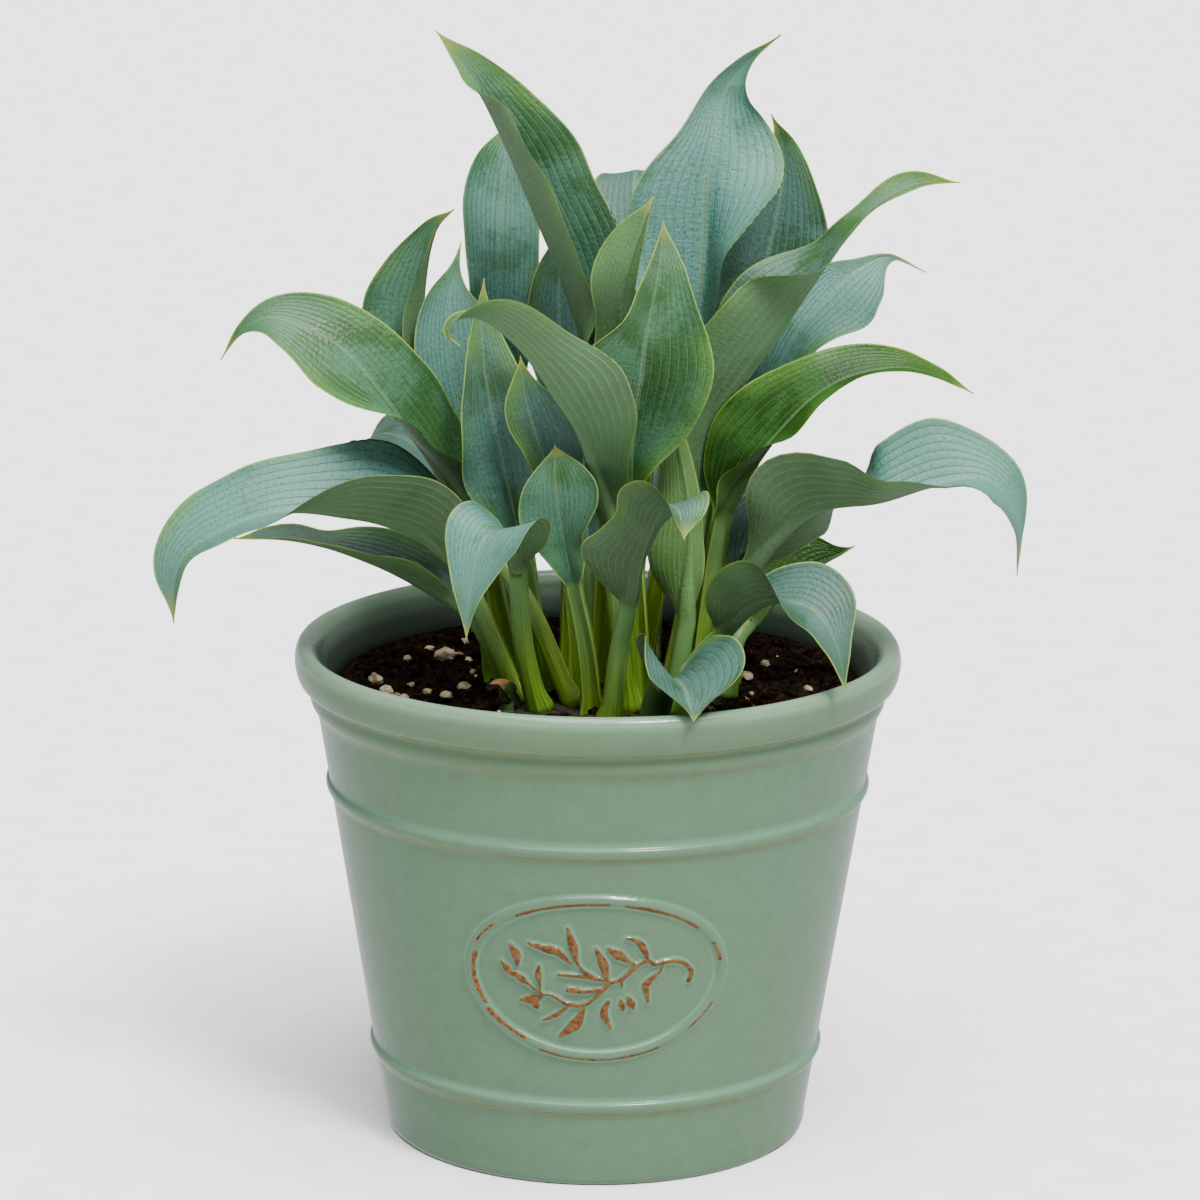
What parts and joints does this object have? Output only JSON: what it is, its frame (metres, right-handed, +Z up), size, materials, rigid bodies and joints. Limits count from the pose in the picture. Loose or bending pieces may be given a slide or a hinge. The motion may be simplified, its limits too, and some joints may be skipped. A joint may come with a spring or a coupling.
{
  "type": "potted hosta plant",
  "caption": "Broad-leaved hosta growing from a crown in a round glazed planter with a rolled rim, raised bands and an oval leaf-sprig medallion.",
  "frame": {"origin": "centre of the planter's base, on its axis, where it rests", "axes": "+Z up the planter's axis; the medallion on the planter's front faces -Y; +X is to the right seen from the front"},
  "size_m": [0.4185, 0.3023, 0.5516],
  "materials": {
    "glaze": "glossy sage-green glaze, thin and brown on raised edges",
    "potting_mix": "dark crumbly potting mix with pale grains",
    "crown": "matt yellow-green rootstock",
    "leaf_blue": "satin leaf under a blue-green bloom",
    "leaf_green": "satin mid-green leaf",
    "leaf_pale": "satin olive-green leaf, seen from its underside",
    "dry_sheath": "dry brown bract"
  },
  "bodies": {
    "root": {"pot": "glaze", "soil": "potting_mix", "crown": "crown", "dry_sheath": "dry_sheath", "leaf_tall_left": "leaf_blue", "leaf_broad_right": "leaf_blue", "leaf_dark_right": "leaf_blue", "leaf_far_back": "leaf_blue", "leaf_swept_right": "leaf_pale", "leaf_pale_right": "leaf_blue", "leaf_mid_right": "leaf_green", "leaf_low_right": "leaf_blue", "leaf_low_left": "leaf_blue", "leaf_under_left": "leaf_blue", "leaf_mid_left": "leaf_green", "leaf_slim_left": "leaf_green", "leaf_curled_left": "leaf_green", "leaf_blue_back": "leaf_blue", "leaf_inner_left": "leaf_blue", "leaf_hooked_front": "leaf_pale", "leaf_heart_front": "leaf_green", "leaf_pale_curl": "leaf_pale", "leaf_folded_blue": "leaf_blue", "leaf_drooping_front": "leaf_blue", "leaf_cupped_front": "leaf_blue", "leaf_nodding_front": "leaf_pale", "leaf_small_low": "leaf_blue", "leaf_arched_right": "leaf_blue", "leaf_tucked_right": "leaf_blue", "leaf_short_right": "leaf_green", "leaf_sheathing": "leaf_pale", "leaf_back_left": "leaf_blue", "leaf_narrow_back": "leaf_blue", "leaf_back_centre": "leaf_blue", "leaf_back_right": "leaf_blue", "leaf_back_low_right": "leaf_blue"}
  },
  "joints": []
}
